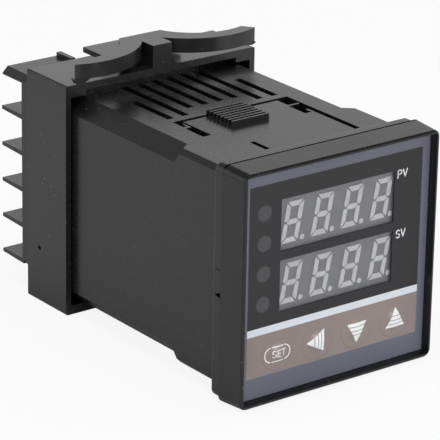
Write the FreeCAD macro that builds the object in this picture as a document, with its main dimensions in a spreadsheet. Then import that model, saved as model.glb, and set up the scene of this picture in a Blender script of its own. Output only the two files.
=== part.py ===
import FreeCAD, Part
import math
import operator
import os
import Sketcher

Vector = FreeCAD.Vector
doc = FreeCAD.newDocument("controller")

# ---------------------------------------------------------------- dimensions
# Axes: X runs to the right seen from the front, Y runs back from the bezel's
# front edge, Z runs up from the bezel's lower edge. Lengths in millimetres.
# "lift" and half of "overall_length" then bring the origin to the middle of the footprint.

DIMENSIONS = [
    # overall
    ("lift", 0.35),
    ("overall_length", 85.1),
    # bezel and its face
    ("face_size", 48.0),
    ("bezel_growth", 0.35),
    ("bezel_depth", 6.6),
    ("bezel_corner", 1.6),
    ("bezel_edge", 0.35),
    ("bezel_wall", 2.4),
    ("rim_width", 0.7),
    ("rim_slope", 0.4),
    ("face_recess", 1.6),
    ("film_thickness", 0.25),
    ("plate_rear", 3.4),
    ("pane_thickness", 0.35),
    # printed face: windows, keys and lamps
    ("window_centre", 0.1),
    ("window_width", 27.95),
    ("window_height", 10.6),
    ("window_upper_height", 35.55),
    ("window_lower_height", 23.1),
    ("key_centre", 0.65),
    ("key_pitch", 9.8),
    ("key_height", 9.4),
    ("key_diameter", 7.4),
    ("key_crown", 0.45),
    ("key_travel", 0.35),
    ("key_stem", 3.0),
    ("lamp_column", -17.9),
    ("lamp_top", 38.95),
    ("lamp_pitch", 6.2),
    ("lamp_diameter", 3.0),
    # display blocks
    ("display_centre", 0.35),
    ("display_width", 29.8),
    ("display_height", 12.3),
    ("display_face", 2.25),
    ("digit_pitch", 7.33),
    ("digit_width", 4.15),
    ("digit_height", 8.25),
    ("digit_stroke", 1.05),
    ("digit_gap", 0.13),
    ("digit_lean", 0.19),
    ("digit_depth", 0.2),
    # case
    ("flange_size", 47.9),
    ("flange_rear", 9.7),
    ("case_width", 44.6),
    ("case_low", 1.63),
    ("case_high", 46.37),
    ("case_wall", 1.5),
    ("case_rear", 75.6),
    ("front_bevel", 1.0),
    ("rear_bevel", 3.1),
    ("inner_bevel", 2.4),
    ("bevel_start", 23.0),
    ("bevel_full", 24.7),
    # snap windows, board guides and the bezel's cheeks
    ("guide_front", 62.0),
    ("guide_rear", 69.0),
    ("cheek_thickness", 0.85),
    ("cheek_rear", 12.5),
    ("cheek_low", 15.5),
    ("cheek_high", 32.5),
    # ventilation slots
    ("vent_width", 1.6),
    ("vent_pitch", 3.72),
    ("vent_front", 38.4),
    ("vent_front_middle", 41.8),
    ("vent_rear", 60.0),
    ("vent_rear_side", 51.0),
    # latch tongue in the top wall
    ("slot_rear", 36.5),
    ("tongue_rear", 35.5),
    ("tongue_left", -12.15),
    ("tongue_right", 13.3),
    ("hinge_left", 26.2),
    ("hinge_right", 13.2),
    ("pad_left", -5.9),
    ("pad_right", 3.2),
    ("pad_front", 27.7),
    ("pad_base", 0.1),
    ("pad_ridge", 1.0),
    ("pad_pitch", 1.18),
    # terminal block
    ("block_rear", 77.7),
    ("block_nose", 69.6),
    ("fin_tip", 85.1),
    ("fin_root", 1.1),
    ("fin_edge", 0.75),
    ("fin_pitch", 7.96),
    ("fin_low", 5.0),
    ("fin_inner", 7.9),
    ("block_top_bevel", 1.3),
    ("block_low_bevel", 4.0),
    ("spine_rear", 79.6),
    ("screw_column", 14.2),
    ("screw_head", 5.6),
    ("screw_shank", 2.9),
    ("contact_plane", 16.5),
    # mounting bracket
    ("bracket_front", 59.2),
    ("bracket_rear", 73.3),
    ("bracket_width", 47.8),
    ("bracket_inside", 45.2),
    ("bracket_high", 49.3),
    ("bracket_ceiling", 46.7),
    ("recess_ceiling", 47.8),
    ("recess_half", 19.0),
    ("bracket_floor", 1.58),
    ("wing_low", 51.0),
    ("wing_high", 54.1),
    ("root_half", 5.2),
    ("root_front", 63.0),
    ("root_rear", 67.3),
    ("post_half", 2.4),
    ("wing_nose", 57.8),
    ("wing_nose_half", 22.7),
    ("wing_heel", 60.2),
    ("wing_heel_half", 20.9),
    ("tab_thickness", 1.1),
    # circuit boards
    ("board_thickness", 1.6),
    ("front_board_face", 9.2),
    ("front_board_half", 19.2),
    ("side_board_plane", 17.6),
    ("side_board_rear", 73.6),
    ("board_low", 4.9),
    ("board_high", 41.6),
    # transformer: laminated core, winding window and post
    ("core_front", 30.0),
    ("core_rear", 47.0),
    ("core_low", 9.5),
    ("core_high", 26.5),
    ("core_reach", 16.5),
    ("core_limb", 3.5),
    ("core_post", 5.0),
    ("core_foot", 3.0),
    # relay
    ("relay_front", 49.0),
    ("relay_length", 15.0),
    ("relay_low", 9.0),
    ("relay_height", 17.5),
    ("relay_depth", 15.2),
]

sheet = doc.addObject("Spreadsheet::Sheet", "dims")
for row, (alias, value) in enumerate(DIMENSIONS, start=1):
    sheet.set("A%d" % row, alias)
    sheet.set("B%d" % row, str(value))
    sheet.setAlias("B%d" % row, alias)
doc.recompute()


class Dim:
    """A length together with the spreadsheet formula that gives it."""

    SIGNS = {"+": operator.add, "-": operator.sub, "*": operator.mul, "/": operator.truediv}

    def __init__(self, value, formula=None):
        self.value = float(value)
        self.formula = formula or "(%s)" % repr(float(value))

    def join(self, sign, other):
        other = other if isinstance(other, Dim) else Dim(other)
        value = self.SIGNS[sign](self.value, other.value)
        return Dim(value, "(%s %s %s)" % (self.formula, sign, other.formula))

    def __add__(self, other):
        return self.join("+", other)

    def __sub__(self, other):
        return self.join("-", other)

    def __mul__(self, other):
        return self.join("*", other)

    def __truediv__(self, other):
        return self.join("/", other)

    def __radd__(self, other):
        return Dim(other).join("+", self)

    def __rsub__(self, other):
        return Dim(other).join("-", self)

    def __rmul__(self, other):
        return Dim(other).join("*", self)

    def __neg__(self):
        return Dim(-1.0).join("*", self)


def dim(item):
    """A Dim from a spreadsheet alias, a number or a Dim."""
    if isinstance(item, Dim):
        return item
    if isinstance(item, str):
        return Dim(sheet.get(item), "dims." + item)
    return Dim(item)


# ------------------------------------------------------- sketches and features

SUB_PARTS = []


def sub_part(thing, label, at=(0, 0, 0)):
    """Give a finished object its file name and its place in the assembly."""
    thing.Label = label
    offset = (dim(0), -dim("overall_length") / 2, dim("lift"))
    for axis, shift, base in zip("xyz", at, offset):
        thing.setExpression("Placement.Base." + axis, (dim(shift) + base).formula)
    SUB_PARTS.append(thing)
    return thing


def new_body(name):
    return doc.addObject("PartDesign::Body", name)


def origin_feature(body, role):
    return next(item for item in body.Origin.OriginFeatures if item.Role == role)


def new_sketch(body, plane, level):
    """A sketch on an origin plane, moved along the plane's axis to a level."""
    sketch = body.newObject("Sketcher::SketchObject", body.Name + "_sketch")
    sketch.AttachmentSupport = [(origin_feature(body, plane), "")]
    sketch.MapMode = "FlatFace"
    level = -dim(level) if plane == "XZ_Plane" else dim(level)
    sketch.setExpression("AttachmentOffset.Base.z", level.formula)
    return sketch


def pin_point(sketch, geometry, end, point):
    """Hold a point of the sketch at a place given by two Dims."""
    for kind, length in zip(("DistanceX", "DistanceY"), point):
        length = dim(length)
        index = sketch.addConstraint(Sketcher.Constraint(kind, -1, 1, geometry, end, length.value))
        sketch.setExpression("Constraints[%d]" % index, length.formula)


def draw_polygon(sketch, points):
    first = sketch.GeometryCount
    places = [Vector(dim(u).value, dim(v).value, 0) for u, v in points]
    for start, end in zip(places, places[1:] + places[:1]):
        sketch.addGeometry(Part.LineSegment(start, end))
    for index, point in enumerate(points):
        following = first + (index + 1) % len(points)
        sketch.addConstraint(Sketcher.Constraint("Coincident", first + index, 2, following, 1))
        pin_point(sketch, first + index, 1, point)


def draw_circle(sketch, centre, diameter):
    radius = dim(diameter) / 2
    place = Vector(dim(centre[0]).value, dim(centre[1]).value, 0)
    geometry = sketch.addGeometry(Part.Circle(place, Vector(0, 0, 1), radius.value))
    pin_point(sketch, geometry, 3, centre)
    index = sketch.addConstraint(Sketcher.Constraint("Radius", geometry, radius.value))
    sketch.setExpression("Constraints[%d]" % index, radius.formula)


def draw(sketch, outlines):
    """An outline is a list of points, or a ("circle", centre, diameter)."""
    for outline in outlines:
        if outline[0] == "circle":
            draw_circle(sketch, outline[1], outline[2])
        else:
            draw_polygon(sketch, outline)


def pad(body, plane, start, end, outlines):
    """Add material from one level to a higher one along the plane's axis."""
    sketch = new_sketch(body, plane, start)
    draw(sketch, outlines)
    feature = body.newObject("PartDesign::Pad", body.Name + "_pad")
    feature.Profile = sketch
    feature.setExpression("Length", (dim(end) - dim(start)).formula)
    feature.Reversed = plane == "XZ_Plane"
    doc.recompute()
    return feature


def pocket(body, plane, start, end, outlines):
    """Cut from one level to a higher one along the plane's axis."""
    before = body.Shape.Volume
    sketch = new_sketch(body, plane, start)
    draw(sketch, outlines)
    feature = body.newObject("PartDesign::Pocket", body.Name + "_pocket")
    feature.Profile = sketch
    feature.setExpression("Length", (dim(end) - dim(start)).formula)
    feature.Reversed = plane != "XZ_Plane"
    doc.recompute()
    if body.Shape.Volume > before - 1e-6:
        raise RuntimeError(feature.Name + " cuts nothing")
    return feature


def loft(body, plane, sections):
    """Join two outlines at two levels by straight faces."""
    sketches = []
    for level, outline in sections:
        sketch = new_sketch(body, plane, level)
        draw(sketch, [outline])
        sketches.append(sketch)
    feature = body.newObject("PartDesign::AdditiveLoft", body.Name + "_loft")
    feature.Profile = sketches[0]
    feature.Sections = sketches[1:]
    feature.Ruled = True
    doc.recompute()
    return feature


def dress(body, kind, size, chosen):
    """Round ("Fillet") or bevel ("Chamfer") the edges that a test picks."""
    base = body.Tip
    names = []
    for index, edge in enumerate(base.Shape.Edges, start=1):
        if chosen(edge):
            names.append("Edge%d" % index)
    feature = body.newObject("PartDesign::" + kind, body.Name + "_" + kind.lower())
    feature.Base = (base, names)
    feature.setExpression("Radius" if kind == "Fillet" else "Size", dim(size).formula)
    doc.recompute()
    return feature


def wedge(body, kind, levels, near, far):
    """Add or subtract a block that tapers along Y from the near outline to the far one."""
    feature = body.newObject("PartDesign::%sWedge" % kind, body.Name + "_wedge")
    (left, low), (right, high) = near
    (left_far, low_far), (right_far, high_far) = far
    sizes = {
        "Xmin": left, "Xmax": right, "Zmin": low, "Zmax": high,
        "X2min": left_far, "X2max": right_far, "Z2min": low_far, "Z2max": high_far,
        "Ymin": levels[0], "Ymax": levels[1],
    }
    for name, value in sizes.items():
        feature.setExpression(name, dim(value).formula)
    doc.recompute()
    return feature


def pattern(body, feature, role, length, count):
    """Repeat the last feature in a row along an origin axis."""
    row = body.newObject("PartDesign::LinearPattern", body.Name + "_row")
    row.Originals = [feature]
    row.Direction = (origin_feature(body, role), [""])
    row.setExpression("Length", dim(length).formula)
    row.Occurrences = count
    body.Tip = row
    doc.recompute()
    return row


def ring(centre, diameter, sides):
    """A regular polygon about a centre, with flats the diameter apart."""
    u, v = dim(centre[0]), dim(centre[1])
    radius = dim(diameter) / 2
    points = []
    for step in range(sides):
        angle = math.tau * (step + 0.5) / sides
        reach = 1 / math.cos(math.pi / sides)
        points.append((u + radius * (reach * math.cos(angle)), v + radius * (reach * math.sin(angle))))
    return points


def rectangle(left, low, right, high):
    return [(left, low), (right, low), (right, high), (left, high)]


def bevelled(half, low, high, cut_low, cut_high):
    """A rectangle about X = 0 whose corners are cut at 45 degrees."""
    half, low, high = dim(half), dim(low), dim(high)
    cut_low, cut_high = dim(cut_low), dim(cut_high)
    right = [
        (half - cut_low, low),
        (half, low + cut_low),
        (half, high - cut_high),
        (half - cut_high, high),
    ]
    left = [(-u, v) for u, v in reversed(right)]
    return right + left


# ------------------------------------------------------ primitives and groups

def box(x, y, z):
    """A block between pairs of levels along X, Y and Z."""
    block = doc.addObject("Part::Box", "block")
    for name, axis, (low, high) in zip(("Length", "Width", "Height"), "xyz", (x, y, z)):
        block.setExpression(name, (dim(high) - dim(low)).formula)
        block.setExpression("Placement.Base." + axis, dim(low).formula)
    return block


TURNS = {
    "x": FreeCAD.Rotation(Vector(0, 1, 0), 90),
    "y": FreeCAD.Rotation(Vector(1, 0, 0), -90),
    "z": FreeCAD.Rotation(),
}


def rod(axis, start, end, centre, diameter):
    """A cylinder along an axis; centre is (x, y, z) at its start."""
    bar = doc.addObject("Part::Cylinder", "rod")
    bar.setExpression("Height", (dim(end) - dim(start)).formula)
    bar.setExpression("Radius", (dim(diameter) / 2).formula)
    bar.Placement = FreeCAD.Placement(Vector(), TURNS[axis])
    place = dict(zip("xyz", centre))
    place[axis] = start
    for name in "xyz":
        bar.setExpression("Placement.Base." + name, dim(place[name]).formula)
    return bar


def barrel(start, end, centre, diameter):
    """A twelve-sided stand-in along Y for a small hidden round hole or shank."""
    bar = doc.addObject("Part::Prism", "barrel")
    bar.Polygon = 12
    reach = 1 / math.cos(math.pi / 12)
    bar.setExpression("Circumradius", (dim(diameter) / 2 * reach).formula)
    bar.setExpression("Height", (dim(end) - dim(start)).formula)
    bar.Placement = FreeCAD.Placement(Vector(), TURNS["y"])
    for name, value in zip("xyz", (centre[0], start, centre[2])):
        bar.setExpression("Placement.Base." + name, dim(value).formula)
    return bar


def fused(things):
    joined = doc.addObject("Part::MultiFuse", "joined")
    joined.Shapes = things
    joined.Refine = True
    return joined


def cut(base, tools):
    result = doc.addObject("Part::Cut", "carved")
    result.Base = base
    result.Tool = tools[0] if len(tools) == 1 else fused(tools)
    result.Refine = True
    return result


def together(things):
    """Separate solids kept in one object."""
    group = doc.addObject("Part::Compound", "group")
    group.Links = things
    return group


# ----------------------------------------------------------------- shared sizes

case_half = dim("case_width") / 2
inner_half = case_half - dim("case_wall")
inner_low = dim("case_low") + dim("case_wall")
inner_high = dim("case_high") - dim("case_wall")
film_rear = dim("face_recess") + dim("film_thickness")
key_columns = [dim("key_centre") + dim("key_pitch") * step for step in (-1.5, -0.5, 0.5, 1.5)]
lamp_rows = [dim("lamp_top") - dim("lamp_pitch") * step for step in range(4)]
window_rows = [dim("window_upper_height"), dim("window_lower_height")]
fin_rows = [dim("fin_low") + dim("fin_pitch") * step for step in range(6)]
screw_rows = [level + (dim("fin_pitch") + dim("fin_root")) / 2 for level in fin_rows[:5]]
front_board_rear = dim("front_board_face") + dim("board_thickness")
power_face = -dim("side_board_plane") + dim("board_thickness") / 2
logic_face = dim("side_board_plane") - dim("board_thickness") / 2


def hinge_point(x, gap):
    """A point on the tongue's slanting hinge line, moved back by a gap."""
    left, right = dim("hinge_left"), dim("hinge_right")
    span = dim("tongue_right") - dim("tongue_left")
    slope = (right - left) / span
    return (dim(x), left + slope * (dim(x) - dim("tongue_left")) + gap)


# ------------------------------------------------------------------------- case

def vent_outlines():
    """Eight slots: the middle four start further back, the outer two stop early."""
    slots = []
    for step in range(8):
        centre = dim("vent_pitch") * (step - 3.5)
        outer = step in (0, 7)
        middle = 1 < step < 6
        front = dim("vent_front_middle" if middle else "vent_front")
        rear = dim("vent_rear_side" if outer else "vent_rear")
        half = dim("vent_width") / 2
        slots.append(rectangle(centre - half, front, centre + half, rear))
    return slots


def latch_opening():
    """Plan of the slots that free the tongue, with the case's small spur."""
    slot, left_edge = dim("slot_rear"), dim("tongue_left")
    return [
        (14.6, dim("hinge_right")),
        (14.6, slot),
        (-14.0, slot),
        (-14.0, slot - 3.5),
        (-13.1, slot - 3.5),
        (-13.1, slot - 1.9),
        (-12.7, slot - 1.9),
        (-12.7, slot - 4.5),
        (-14.2, slot - 4.5),
        (-14.2, dim("hinge_left")),
        hinge_point(left_edge, 0.0),
        hinge_point("tongue_right", 0.0),
    ]


def make_case():
    body = new_body("case_shell")
    half, low, high = case_half, dim("case_low"), dim("case_high")
    front, rear = dim("front_bevel"), dim("rear_bevel")
    small = bevelled(half, low, high, front, front)
    large = bevelled(half, low, high, rear, rear)
    edge = dim("flange_size") / 2
    middle = dim("face_size") / 2
    pad(body, "XZ_Plane", "bezel_depth", "flange_rear",
        [rectangle(-edge, middle - edge, edge, middle + edge)])
    dress(body, "Fillet", "bezel_corner", lambda e: e.BoundBox.YLength > 1)
    rear_level = sheet.get("flange_rear")
    dress(body, "Fillet", 0.6, lambda e: e.BoundBox.YMin > rear_level - 0.01)
    pad(body, "XZ_Plane", dim("flange_rear") - 0.7, "bevel_start", [small])
    loft(body, "XZ_Plane", [("bevel_start", small), ("bevel_full", large)])
    pad(body, "XZ_Plane", "bevel_full", "case_rear", [large])
    inside = bevelled(inner_half, inner_low, inner_high, "inner_bevel", "inner_bevel")
    pocket(body, "XZ_Plane", "bezel_depth", "case_rear", [inside])
    pocket(body, "XY_Plane", dim("case_high") - 2, dim("case_high") + 1, vent_outlines())
    pocket(body, "XY_Plane", dim("case_low") - 1, dim("case_low") + 2, vent_outlines())
    pocket(body, "XY_Plane", dim("case_high") - 2, dim("case_high") + 1,
           [latch_opening(), rectangle(-8.7, 13.5, -7.6, 18.5)])
    # snap windows for the bezel's hooks, just behind the flange
    hook = [(10.0, 19.7), (11.1, 20.3), (10.0, 20.9)]
    pocket(body, "YZ_Plane", -case_half - 1, -inner_half + 0.4, [hook])
    pocket(body, "YZ_Plane", inner_half - 0.4, case_half + 1, [hook])
    # grooves that guide the two side boards
    for side in (-1, 1):
        centre = side * dim("side_board_plane")
        for low_edge, high_edge in ((inner_low - 0.01, inner_low + 2.6),
                                    (inner_high - 3.6, inner_high + 0.01)):
            guides = [rectangle(centre - 1.8, low_edge, centre - 1.0, high_edge),
                      rectangle(centre + 1.0, low_edge, centre + 1.8, high_edge)]
            pad(body, "XZ_Plane", "guide_front", "guide_rear", guides)
    return sub_part(body, "case")


def make_latch():
    body = new_body("latch_body")
    gap = 0.03
    rear, right = dim("tongue_rear"), dim("tongue_right")
    edge = right - 2.2
    pad(body, "XY_Plane", inner_high, "case_high", [[
        hinge_point("tongue_left", gap),
        hinge_point("tongue_right", gap),
        (right, 28.0),
        (right - 0.6, 28.0),
        (right - 0.6, 26.1),
        (edge, 26.1),
        (edge, 31.5),
        (right + 0.7, 31.5),
        (right + 0.7, 32.1),
        (edge + 0.3, 32.1),
        (edge + 0.3, rear),
        (dim("tongue_left"), rear),
    ]])
    ridges = ridge_profile()
    pad(body, "YZ_Plane", "pad_left", "pad_right", [ridges])
    return sub_part(body, "bracket_latch")


def ridge_profile():
    """Side view of the pad: eight deep grip ridges, the last one over the slot."""
    front, pitch = dim("pad_front"), dim("pad_pitch")
    bottom, top = dim("case_high") - 0.4, dim("case_high") + 0.05
    valley = dim("case_high") + dim("pad_base")
    crest = valley + dim("pad_ridge")
    points = [(front, bottom)]
    for step in range(7):
        start = front + pitch * step
        points += [(start, crest), (start + pitch * 0.42, crest),
                   (start + pitch * 0.55, valley), (start + pitch * 0.92, valley)]
    start = front + pitch * 7
    rear = dim("tongue_rear")
    points += [(start, crest), (start + pitch * 0.29, crest), (start + pitch * 0.29, top),
               (rear, top), (rear, bottom)]
    return points


# --------------------------------------------------------------- front assembly

def make_bezel():
    body = new_body("bezel_body")
    half = dim("face_size") / 2
    size = dim("face_size")
    grow = dim("bezel_growth")
    wedge(body, "Additive", (0, "bezel_depth"), ((-half, 0), (half, size)),
          ((-half - grow, -grow), (half + grow, size + grow)))
    dress(body, "Fillet", "bezel_corner", lambda e: e.BoundBox.YLength > 1)
    dress(body, "Chamfer", "bezel_edge", lambda e: e.BoundBox.YMax < 0.01)
    rim = dim("rim_width")
    seat = rim + dim("rim_slope")
    wedge(body, "Subtractive", (0, film_rear), ((-half + rim, rim), (half - rim, size - rim)),
          ((-half + seat, seat), (half - seat, size - seat)))
    wall = dim("bezel_wall")
    pocket(body, "XZ_Plane", "plate_rear", "bezel_depth",
           [rectangle(-half + wall, wall, half - wall, size - wall)])
    centre, reach = dim("display_centre"), dim("display_width") / 2 + 0.15
    tall = dim("display_height") / 2 + 0.15
    opening = rectangle(centre - reach, window_rows[1] - tall, centre + reach, window_rows[0] + tall)
    lamps = [("circle", (dim("lamp_column"), row), dim("lamp_diameter") + 0.2) for row in lamp_rows]
    stems = [("circle", (column, dim("key_height")), dim("key_stem") + 0.4)
             for column in key_columns]
    pocket(body, "XZ_Plane", 0, "bezel_depth", [opening] + lamps + stems)
    well, level = dim("key_diameter") / 2 + 0.1, dim("key_height")
    wells = [rectangle(column - well, level - well, column + well, level + well)
             for column in key_columns]
    pocket(body, "XZ_Plane", 0, film_rear + dim("key_travel") + 0.15, wells)
    # side cheeks that run back into the case and carry the snap hooks
    cheek_out = inner_half - 0.15
    for side in (-1, 1):
        near, far = side * (cheek_out - dim("cheek_thickness")), side * cheek_out
        left, right = (far, near) if side < 0 else (near, far)
        pad(body, "XZ_Plane", dim("plate_rear") - 0.2, "cheek_rear",
            [rectangle(left, "cheek_low", right, "cheek_high")])
    return sub_part(body, "bezel")


def window_outline(level, margin):
    half_width = dim("window_width") / 2 + margin
    half_height = dim("window_height") / 2 + margin
    centre = dim("window_centre")
    return rectangle(centre - half_width, level - half_height,
                     centre + half_width, level + half_height)


def make_film():
    body = new_body("film_body")
    half = dim("face_size") / 2
    inset = dim("rim_width") + dim("rim_slope") + 0.02
    outline = rectangle(-half + inset, inset, half - inset, dim("face_size") - inset)
    holes = [("circle", (column, dim("key_height")), dim("key_diameter") + 0.08)
             for column in key_columns]
    windows = [window_outline(level, 0.0) for level in window_rows]
    pad(body, "XZ_Plane", "face_recess", film_rear, [outline] + holes + windows)
    return sub_part(body, "face_film")


def make_pane(label, level):
    body = new_body(label + "_body")
    outline = window_outline(dim(0), 0.65)
    pad(body, "XZ_Plane", film_rear, film_rear + dim("pane_thickness"), [outline])
    return sub_part(body, label, (0, 0, level))


def make_key(label, column):
    """A shallow dome pressed through the film, with its stem behind."""
    radius, crown = dim("key_diameter") / 2, dim("key_crown")
    body = new_body(label + "_body")
    sketch = new_sketch(body, "XY_Plane", 0)
    front, rear = dim("face_recess") - crown, film_rear
    shoulder = dim("face_recess")
    stem, tip = dim("key_stem") / 2, dim("front_board_face") - 2.9
    points = [(0, front), (radius * 0.6, front + crown * 0.3), (radius, shoulder),
              (radius, rear), (stem, rear), (stem, tip), (0, tip)]
    draw(sketch, [points])
    turn = body.newObject("PartDesign::Revolution", body.Name + "_turn")
    turn.Profile = sketch
    turn.ReferenceAxis = (origin_feature(body, "Y_Axis"), [""])
    turn.Angle = 360
    doc.recompute()
    return sub_part(body, label, (column, 0, "key_height"))


def make_lamp(label, row):
    """A status lamp: a round lens in front and its square base on the board."""
    base_front, half = 6.4, dim("lamp_diameter") / 2 + 0.3
    lens = rod("y", film_rear + 0.15, base_front, (0, 0, 0), "lamp_diameter")
    base = box((-half, half), (base_front, "front_board_face"), (-half, half))
    return sub_part(fused([lens, base]), label, ("lamp_column", 0, row))


def digit_outlines():
    """Seven mitred segments and a point, leaning to the right."""
    half_width, half_height = dim("digit_width") / 2, dim("digit_height") / 2
    stroke, gap = dim("digit_stroke"), dim("digit_gap")
    inner_x, inner_z = half_width - stroke, half_height - stroke
    top = [(-half_width + gap * 2, half_height), (half_width - gap * 2, half_height),
           (inner_x - gap, inner_z), (-inner_x + gap, inner_z)]
    side = [(half_width, half_height - gap * 2), (inner_x, inner_z - gap),
            (inner_x, stroke / 2 + gap), (half_width - stroke / 2, gap),
            (half_width, gap + stroke / 4)]
    bar_end = half_width - stroke / 2 - gap
    bar = [(bar_end, 0), (inner_x - gap, stroke / 2), (-inner_x + gap, stroke / 2),
           (-bar_end, 0), (-inner_x + gap, -stroke / 2), (inner_x - gap, -stroke / 2)]
    segments = [top, [(u, -v) for u, v in reversed(top)], bar]
    for flip_x in (1, -1):
        for flip_z in (1, -1):
            points = [(dim(u) * flip_x, dim(v) * flip_z) for u, v in side]
            segments.append(points if flip_x == flip_z else points[::-1])
    lean = dim("digit_lean")
    leaning = [[(dim(u) + dim(v) * lean, v) for u, v in points] for points in segments]
    dot = ring((half_width + 0.35, -half_height + stroke / 2), stroke, 8)
    return leaning + [dot]


def make_digits(label, level):
    """Four digits of light bars, seated on the front of their display block."""
    body = new_body(label + "_body")
    first = pad(body, "XZ_Plane", "display_face", dim("display_face") + dim("digit_depth"),
                digit_outlines())
    pattern(body, first, "X_Axis", dim("digit_pitch") * 3, 4)
    column = dim("display_centre") - dim("digit_pitch") * 1.5
    return sub_part(body, label, (column, 0, level))


def make_display(label, level):
    """The four-digit block behind the bars, seated on the front board."""
    half_width, half_height = dim("display_width") / 2, dim("display_height") / 2
    centre = dim("display_centre")
    block = box((centre - half_width, centre + half_width),
                (dim("display_face") + dim("digit_depth"), "front_board_face"),
                (level - half_height, level + half_height))
    return sub_part(together([block]), label)


# ------------------------------------------------------------- boards and parts

def make_front_board():
    half, low, high = dim("front_board_half"), dim("board_low") - 0.8, dim("board_high") + 0.8
    board = box((-half, half), ("front_board_face", front_board_rear), (low, high))
    slots = []
    for side in (-1, 1):
        centre = side * dim("side_board_plane")
        for level in (12.0, 31.0):
            slots.append(box((centre - 0.85, centre + 0.85),
                             (dim("front_board_face") - 1, front_board_rear + 1),
                             (level - 0.1, level + 6.1)))
    return sub_part(cut(board, slots), "front_board")


def make_side_board(label, side):
    """A board edge-on behind the front one, tabbed into it, with a stepped rear end."""
    body = new_body(label + "_body")
    front, rear = front_board_rear, dim("side_board_rear")
    low, high = dim("board_low"), dim("board_high")
    tab = dim("front_board_face")
    outline = [(front, low), (rear, low), (rear, high), (front, high)]
    for level in (37.0, 18.0):
        outline += [(front, level), (tab, level), (tab, level - 5.9), (front, level - 5.9)]
    centre = side * dim("side_board_plane")
    half = dim("board_thickness") / 2
    pad(body, "YZ_Plane", centre - half, centre + half, [outline])
    return sub_part(body, label)


def make_switch(label, column):
    """A tact switch: square can, thin lid and round plunger."""
    face = dim("front_board_face")
    can = box((-3, 3), (face - 2.1, face), (-3, 3))
    plunger = rod("y", face - 2.5, face - 2.1, (0, 0, 0), 3.2)
    return sub_part(fused([can, plunger]), label, (column, 0, "key_height"))


def make_transformer():
    """Laminated core round a bobbin, with the winding bulging out."""
    front, rear, limb = dim("core_front"), dim("core_rear"), dim("core_limb")
    low, high, post = dim("core_low"), dim("core_high"), dim("core_post") / 2
    inner, outer = power_face + dim("core_foot"), power_face + dim("core_reach") - 2.8
    middle = (front + rear) / 2
    core = box((inner, outer), (front, rear), (low, high))
    window = box((inner - 1, outer + 1), (front + limb, rear - limb), (low + limb, high - limb))
    column = box((inner, outer), (middle - post, middle + post), (low + limb - 0.1, high - limb + 0.1))
    feet = []
    for start in (front, rear - limb):
        feet.append(box((power_face, inner + 0.1), (start, start + limb), (low, high)))
    return sub_part(fused([cut(core, [window]), column] + feet), "transformer_core")


def make_winding():
    """The taped coil on its bobbin, standing on the board between the core's feet."""
    front, rear, limb = dim("core_front"), dim("core_rear"), dim("core_limb") + 0.1
    low, high, post = dim("core_low"), dim("core_high"), dim("core_post") / 2 + 0.05
    middle, reach = (front + rear) / 2, power_face + dim("core_reach")
    outer = box((power_face, reach), (front + limb, rear - limb), (low + limb, high - limb))
    inner = box((power_face + dim("core_foot") - 0.05, reach - 2.75), (middle - post, middle + post),
                (low + limb - 1, high - limb + 1))
    return sub_part(cut(outer, [inner]), "transformer_winding")


def make_relay():
    front, low = dim("relay_front"), dim("relay_low")
    cover = box((power_face, power_face + dim("relay_depth")), (front, front + dim("relay_length")),
                (low, low + dim("relay_height")))
    return sub_part(together([cover]), "output_relay")


def make_capacitors():
    """Electrolytic cans on the power board, lying across the case."""
    cans = []
    for place, height, diameter, length in ((20.0, 16.0, 10.0, 16.0), (20.0, 31.0, 8.0, 12.0),
                                            (33.0, 34.5, 8.0, 12.0), (44.0, 34.5, 6.3, 11.0)):
        cans.append(rod("x", power_face, power_face + length, (0, place, height), diameter))
    return sub_part(together(cans), "capacitors")


def make_chips():
    """The controller chip, its memory and two couplers on the logic board."""
    chips = []
    for low, high, start, end, tall in ((18.0, 36.0, 12.0, 22.0, 3.4), (42.0, 52.0, 12.0, 18.5, 3.2),
                                        (42.0, 48.5, 26.0, 32.5, 3.2), (56.0, 62.5, 26.0, 32.5, 3.2)):
        chips.append(box((logic_face - tall, logic_face), (low, high), (start, end)))
    return sub_part(together(chips), "logic_chips")


def make_link_pins():
    """Connector strip that joins the two side boards near their rear ends."""
    housing = box((power_face, logic_face), (66.0, 68.6), (27.0, 29.6))
    return sub_part(together([housing]), "board_link")


# --------------------------------------------------------------- terminal block

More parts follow.
